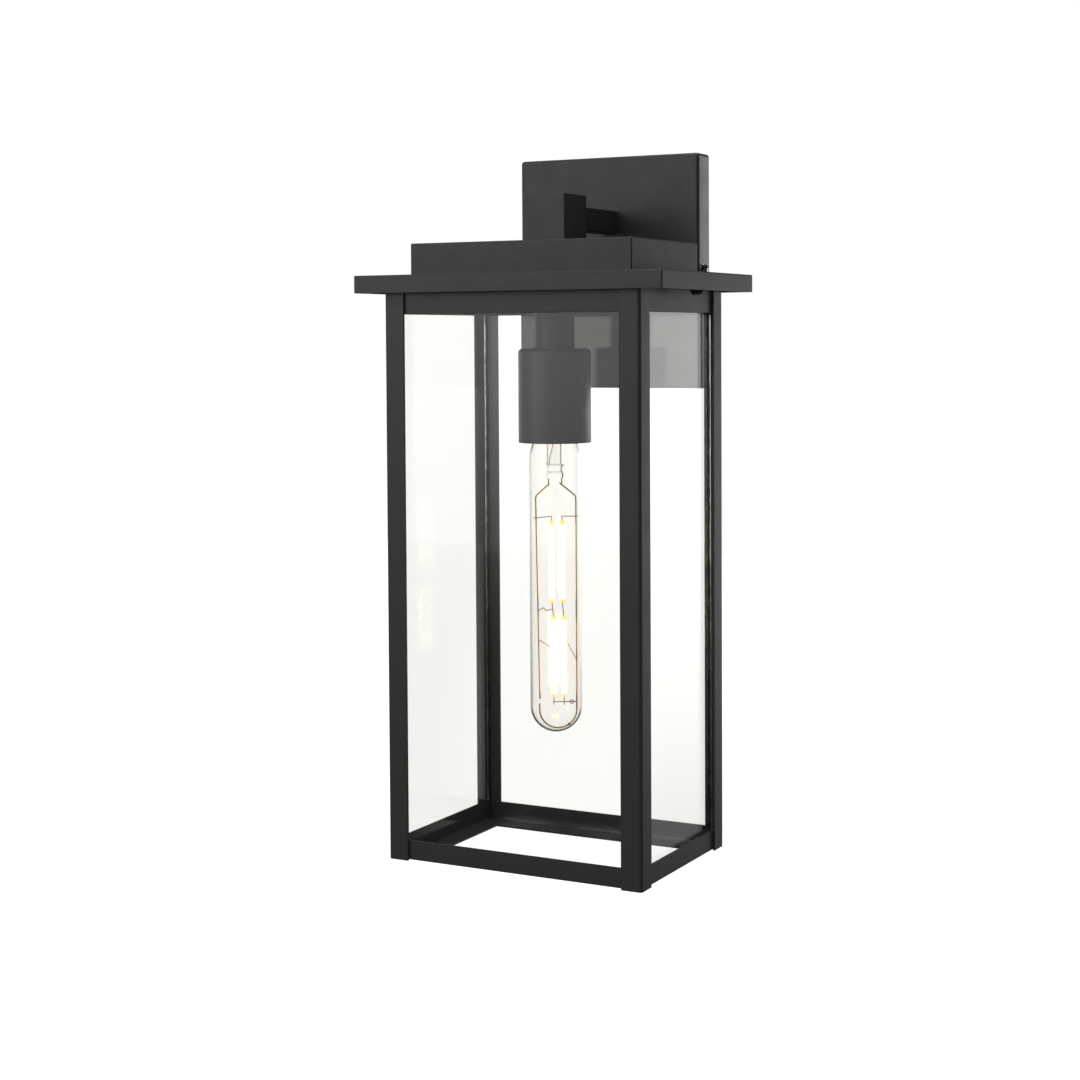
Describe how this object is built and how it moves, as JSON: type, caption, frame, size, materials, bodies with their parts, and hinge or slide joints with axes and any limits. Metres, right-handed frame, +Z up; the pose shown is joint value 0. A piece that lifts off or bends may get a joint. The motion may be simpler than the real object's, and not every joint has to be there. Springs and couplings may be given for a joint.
{
  "type": "outdoor wall lantern",
  "caption": "Outdoor wall lantern: a tall black box frame with clear panes hangs under a stepped flat roof on a wall plate, with a clear tube bulb inside",
  "frame": {"origin": "On the wall plane, at the middle of the wall plate and of its mounting bracket", "axes": "+Z is up, +Y points into the wall, -Y is the lantern's front, +X is to the right of a viewer"},
  "size_m": [0.194, 0.148, 0.4095],
  "materials": {
    "textured_black": "fine textured black powder coat, low sheen",
    "black_screws": "black zinc with a soft sheen",
    "zinc_steel": "bright zinc plating",
    "green_screw": "green dyed zinc",
    "clear_pane": "clear float glass",
    "clear_silicone": "clear cured silicone",
    "porcelain": "glazed white",
    "contact_brass": "bright brass",
    "cap_metal": "rolled screw cap",
    "cap_insulator": "dark glass",
    "bulb_clear_glass": "clear bulb glass",
    "bulb_wire": "drawn wire",
    "filament_coating": "phosphor coating, lit warm"
  },
  "bodies": {
    "fixture": {"wall_plate": "textured_black", "arm": "textured_black", "hanger_post": "textured_black", "roof_crown": "textured_black", "roof_pan": "textured_black", "lamp_stem": "textured_black", "socket_cup": "textured_black", "mounting_bracket": "zinc_steel", "roof_studs": "zinc_steel", "lamp_nipple": "zinc_steel", "lock_washer": "zinc_steel", "locknut": "zinc_steel", "holder_bridge": "zinc_steel", "holder_screws": "zinc_steel", "ground_screw": "green_screw", "lampholder": "porcelain", "screw_shell": "contact_brass", "centre_contact": "contact_brass"},
    "side_washer_left": {"side_washer_left": "zinc_steel"},
    "side_screw_left": {"side_screw_left": "black_screws"},
    "side_washer_right": {"side_washer_right": "zinc_steel"},
    "side_screw_right": {"side_screw_right": "black_screws"},
    "cage": {"cage_top_plate": "textured_black", "corner_post_front_left": "textured_black", "corner_post_front_right": "textured_black", "corner_post_back_left": "textured_black", "corner_post_back_right": "textured_black", "top_rail_front": "textured_black", "top_rail_back": "textured_black", "top_rail_left": "textured_black", "top_rail_right": "textured_black", "bottom_rail_front": "textured_black", "bottom_rail_back": "textured_black", "bottom_rail_left": "textured_black", "bottom_rail_right": "textured_black", "glass_front": "clear_pane", "glass_back": "clear_pane", "glass_left": "clear_pane", "glass_right": "clear_pane", "corner_beads": "clear_silicone"},
    "nut_washer_left": {"nut_washer_left": "zinc_steel"},
    "roof_nut_left": {"roof_nut_left": "black_screws"},
    "nut_washer_right": {"nut_washer_right": "zinc_steel"},
    "roof_nut_right": {"roof_nut_right": "black_screws"},
    "bulb_tip": {"bulb_tip": "contact_brass"},
    "bulb": {"bulb_insulator": "cap_insulator", "bulb_cap": "cap_metal", "bulb_glass": "bulb_clear_glass", "bulb_mount": "bulb_clear_glass", "bulb_supports": "bulb_wire", "bulb_filaments": "filament_coating", "bulb_leads": "bulb_wire"}
  },
  "joints": [
    {"name": "cage_lower", "type": "slide", "parent": "fixture", "child": "cage", "axis": [0, 0, -1], "range_m": [0, 0.28]},
    {"name": "bulb_pull", "type": "slide", "parent": "fixture", "child": "bulb_tip", "axis": [0, 0, -1], "range_m": [0, 0.29]},
    {"name": "bulb_turn", "type": "hinge", "parent": "bulb_tip", "child": "bulb", "pos_m": [0, -0.085, -0.0601], "axis": [0, 0, 1], "continuous": true},
    {"name": "side_screw_left_out", "type": "slide", "parent": "fixture", "child": "side_washer_left", "axis": [-1, 0, 0], "range_m": [0, 0.007]},
    {"name": "side_screw_left_turn", "type": "hinge", "parent": "side_washer_left", "child": "side_screw_left", "pos_m": [-0.0605, -0.01, 0], "axis": [-1, 0, 0], "range_deg": [0, 4320]},
    {"name": "roof_nut_left_down", "type": "slide", "parent": "cage", "child": "nut_washer_left", "axis": [0, 0, -1], "range_m": [0, 0.00805]},
    {"name": "roof_nut_left_turn", "type": "hinge", "parent": "nut_washer_left", "child": "roof_nut_left", "pos_m": [-0.089, -0.085, -0.0064], "axis": [0, 0, -1], "range_deg": [0, 4860]},
    {"name": "side_screw_right_out", "type": "slide", "parent": "fixture", "child": "side_washer_right", "axis": [1, 0, 0], "range_m": [0, 0.007]},
    {"name": "side_screw_right_turn", "type": "hinge", "parent": "side_washer_right", "child": "side_screw_right", "pos_m": [0.0605, -0.01, 0], "axis": [1, 0, 0], "range_deg": [0, 4320]},
    {"name": "roof_nut_right_down", "type": "slide", "parent": "cage", "child": "nut_washer_right", "axis": [0, 0, -1], "range_m": [0, 0.00805]},
    {"name": "roof_nut_right_turn", "type": "hinge", "parent": "nut_washer_right", "child": "roof_nut_right", "pos_m": [0.089, -0.085, -0.0064], "axis": [0, 0, -1], "range_deg": [0, 4860]}
  ],
  "couplings": [
    {"joint": "side_screw_left_turn", "follows": "side_screw_left_out", "rad_per_m": 8976},
    {"joint": "roof_nut_left_turn", "follows": "roof_nut_left_down", "rad_per_m": 8976},
    {"joint": "side_screw_right_turn", "follows": "side_screw_right_out", "rad_per_m": 8976},
    {"joint": "roof_nut_right_turn", "follows": "roof_nut_right_down", "rad_per_m": 8976}
  ]
}
